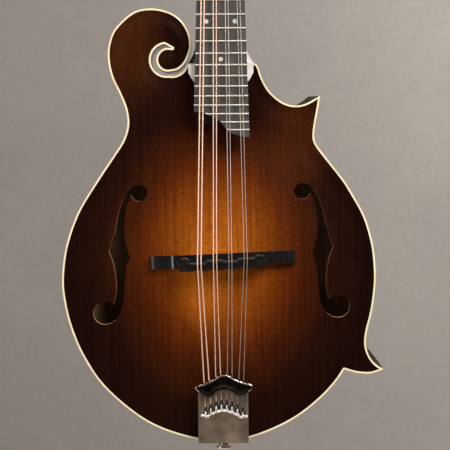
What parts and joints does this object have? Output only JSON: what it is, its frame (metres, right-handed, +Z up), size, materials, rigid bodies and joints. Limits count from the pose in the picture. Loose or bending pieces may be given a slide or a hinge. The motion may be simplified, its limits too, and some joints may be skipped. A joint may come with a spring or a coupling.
{
  "type": "mandolin",
  "caption": "Carved-top mandolin with scroll body, two points, f-shaped sound holes, movable bridge, nickel tailpiece and geared tuners",
  "frame": {"origin": "middle of the end pin's strap neck, on the body's centreline at the tail, half way through the ribs' depth", "axes": "+Z up along the body from the tail to the headstock, -Y out of the carved top, +X to the right seen from the front (the side with the two points)"},
  "size_m": [0.2489, 0.1156, 0.6618],
  "materials": {
    "sunburst_spruce": "gloss lacquer over a dark-edged sunburst stain",
    "stained_maple": "gloss lacquer over dark brown stain",
    "bare_wood": "unfinished inside wood",
    "ivory_binding": "polished, ivory coloured",
    "dark_plastic": "semi-gloss",
    "ebony": "satin",
    "pearl": "pearly gloss",
    "bone": "polished bone colour",
    "nickel": "nickel plate, polished to satin",
    "nickel_wire": "polished",
    "wheel_nickel": "worn nickel plate, warm tint",
    "steel": "plain",
    "bronze_wire": "bronze winding",
    "steel_wire": "bright wire",
    "button": "pearly cream"
  },
  "bodies": {
    "body": {"top_plate": "sunburst_spruce", "back_plate": "stained_maple", "rib_bass": "stained_maple", "rib_cove": "stained_maple", "rib_waist": "stained_maple", "rib_tail": "stained_maple", "linings": "bare_wood", "head_block": "bare_wood", "tail_block": "bare_wood", "point_blocks": "bare_wood", "tone_bars": "bare_wood", "top_binding": "ivory_binding", "point_protectors": "dark_plastic", "neck": "stained_maple", "truss_rod": "steel", "truss_rod_cover": "ebony", "fretboard": "ebony", "frets": "nickel_wire", "position_dots": "pearl", "nut": "bone", "headstock_overlay": "ebony", "bridge_base": "ebony", "bridge_studs": "steel", "tailpiece": "nickel", "tailpiece_screws": "steel", "end_pin": "nickel", "tuner_plate_bass": "nickel", "tuner_plate_treble": "nickel", "tuner_screws": "steel", "post_bushings": "nickel", "strings_wound": "bronze_wire", "strings_plain": "steel_wire"},
    "saddle": {"bridge_saddle": "ebony"},
    "wheel_bass": {"thumbwheel_bass": "wheel_nickel"},
    "wheel_treble": {"thumbwheel_treble": "wheel_nickel"},
    "worm_1": {"tuner_1_worm": "nickel", "tuner_1_button": "button"},
    "post_1": {"tuner_1_post": "nickel"},
    "worm_2": {"tuner_2_worm": "nickel", "tuner_2_button": "button"},
    "post_2": {"tuner_2_post": "nickel"},
    "worm_3": {"tuner_3_worm": "nickel", "tuner_3_button": "button"},
    "post_3": {"tuner_3_post": "nickel"},
    "worm_4": {"tuner_4_worm": "nickel", "tuner_4_button": "button"},
    "post_4": {"tuner_4_post": "nickel"},
    "worm_5": {"tuner_5_worm": "nickel", "tuner_5_button": "button"},
    "post_5": {"tuner_5_post": "nickel"},
    "worm_6": {"tuner_6_worm": "nickel", "tuner_6_button": "button"},
    "post_6": {"tuner_6_post": "nickel"},
    "worm_7": {"tuner_7_worm": "nickel", "tuner_7_button": "button"},
    "post_7": {"tuner_7_post": "nickel"},
    "worm_8": {"tuner_8_worm": "nickel", "tuner_8_button": "button"},
    "post_8": {"tuner_8_post": "nickel"}
  },
  "joints": [
    {"name": "tuner_1_button_turn", "type": "hinge", "parent": "body", "child": "worm_1", "pos_m": [-0.021, 0.02524, 0.53976], "axis": [1, 0, 0], "continuous": true},
    {"name": "tuner_1_post_turn", "type": "hinge", "parent": "body", "child": "post_1", "pos_m": [-0.021, 0.02296, 0.53351], "axis": [0, 0.9397, -0.342], "continuous": true},
    {"name": "tuner_2_button_turn", "type": "hinge", "parent": "body", "child": "worm_2", "pos_m": [-0.021, 0.03311, 0.56137], "axis": [1, 0, 0], "continuous": true},
    {"name": "tuner_2_post_turn", "type": "hinge", "parent": "body", "child": "post_2", "pos_m": [-0.021, 0.03083, 0.55512], "axis": [0, 0.9397, -0.342], "continuous": true},
    {"name": "tuner_3_button_turn", "type": "hinge", "parent": "body", "child": "worm_3", "pos_m": [-0.021, 0.04097, 0.58298], "axis": [1, 0, 0], "continuous": true},
    {"name": "tuner_3_post_turn", "type": "hinge", "parent": "body", "child": "post_3", "pos_m": [-0.021, 0.0387, 0.57673], "axis": [0, 0.9397, -0.342], "continuous": true},
    {"name": "tuner_4_button_turn", "type": "hinge", "parent": "body", "child": "worm_4", "pos_m": [-0.021, 0.04884, 0.60459], "axis": [1, 0, 0], "continuous": true},
    {"name": "tuner_4_post_turn", "type": "hinge", "parent": "body", "child": "post_4", "pos_m": [-0.021, 0.04656, 0.59835], "axis": [0, 0.9397, -0.342], "continuous": true},
    {"name": "tuner_5_button_turn", "type": "hinge", "parent": "body", "child": "worm_5", "pos_m": [0.021, 0.02524, 0.53976], "axis": [1, 0, 0], "continuous": true},
    {"name": "tuner_5_post_turn", "type": "hinge", "parent": "body", "child": "post_5", "pos_m": [0.021, 0.02296, 0.53351], "axis": [0, 0.9397, -0.342], "continuous": true},
    {"name": "tuner_6_button_turn", "type": "hinge", "parent": "body", "child": "worm_6", "pos_m": [0.021, 0.03311, 0.56137], "axis": [1, 0, 0], "continuous": true},
    {"name": "tuner_6_post_turn", "type": "hinge", "parent": "body", "child": "post_6", "pos_m": [0.021, 0.03083, 0.55512], "axis": [0, 0.9397, -0.342], "continuous": true},
    {"name": "tuner_7_button_turn", "type": "hinge", "parent": "body", "child": "worm_7", "pos_m": [0.021, 0.04097, 0.58298], "axis": [1, 0, 0], "continuous": true},
    {"name": "tuner_7_post_turn", "type": "hinge", "parent": "body", "child": "post_7", "pos_m": [0.021, 0.0387, 0.57673], "axis": [0, 0.9397, -0.342], "continuous": true},
    {"name": "tuner_8_button_turn", "type": "hinge", "parent": "body", "child": "worm_8", "pos_m": [0.021, 0.04884, 0.60459], "axis": [1, 0, 0], "continuous": true},
    {"name": "tuner_8_post_turn", "type": "hinge", "parent": "body", "child": "post_8", "pos_m": [0.021, 0.04656, 0.59835], "axis": [0, 0.9397, -0.342], "continuous": true},
    {"name": "saddle_lift", "type": "slide", "parent": "body", "child": "saddle", "axis": [0, -1, 0], "range_m": [-0.0008, 0.0016], "deforming": ["strings_wound", "strings_plain"]},
    {"name": "thumbwheel_bass_turn", "type": "hinge", "parent": "saddle", "child": "wheel_bass", "pos_m": [-0.02862, -0.0438, 0.14356], "axis": [0, -1, 0], "range_deg": [-361, 721]},
    {"name": "thumbwheel_treble_turn", "type": "hinge", "parent": "saddle", "child": "wheel_treble", "pos_m": [0.02874, -0.0438, 0.14576], "axis": [0, -1, 0], "range_deg": [-361, 721]}
  ],
  "couplings": [
    {"joint": "tuner_1_post_turn", "follows": "tuner_1_button_turn", "ratio": -0.066667},
    {"joint": "tuner_2_post_turn", "follows": "tuner_2_button_turn", "ratio": -0.066667},
    {"joint": "tuner_3_post_turn", "follows": "tuner_3_button_turn", "ratio": -0.066667},
    {"joint": "tuner_4_post_turn", "follows": "tuner_4_button_turn", "ratio": -0.066667},
    {"joint": "tuner_5_post_turn", "follows": "tuner_5_button_turn", "ratio": -0.066667},
    {"joint": "tuner_6_post_turn", "follows": "tuner_6_button_turn", "ratio": -0.066667},
    {"joint": "tuner_7_post_turn", "follows": "tuner_7_button_turn", "ratio": -0.066667},
    {"joint": "tuner_8_post_turn", "follows": "tuner_8_button_turn", "ratio": -0.066667},
    {"joint": "thumbwheel_bass_turn", "follows": "saddle_lift", "rad_per_m": 7854},
    {"joint": "thumbwheel_treble_turn", "follows": "saddle_lift", "rad_per_m": 7854}
  ]
}
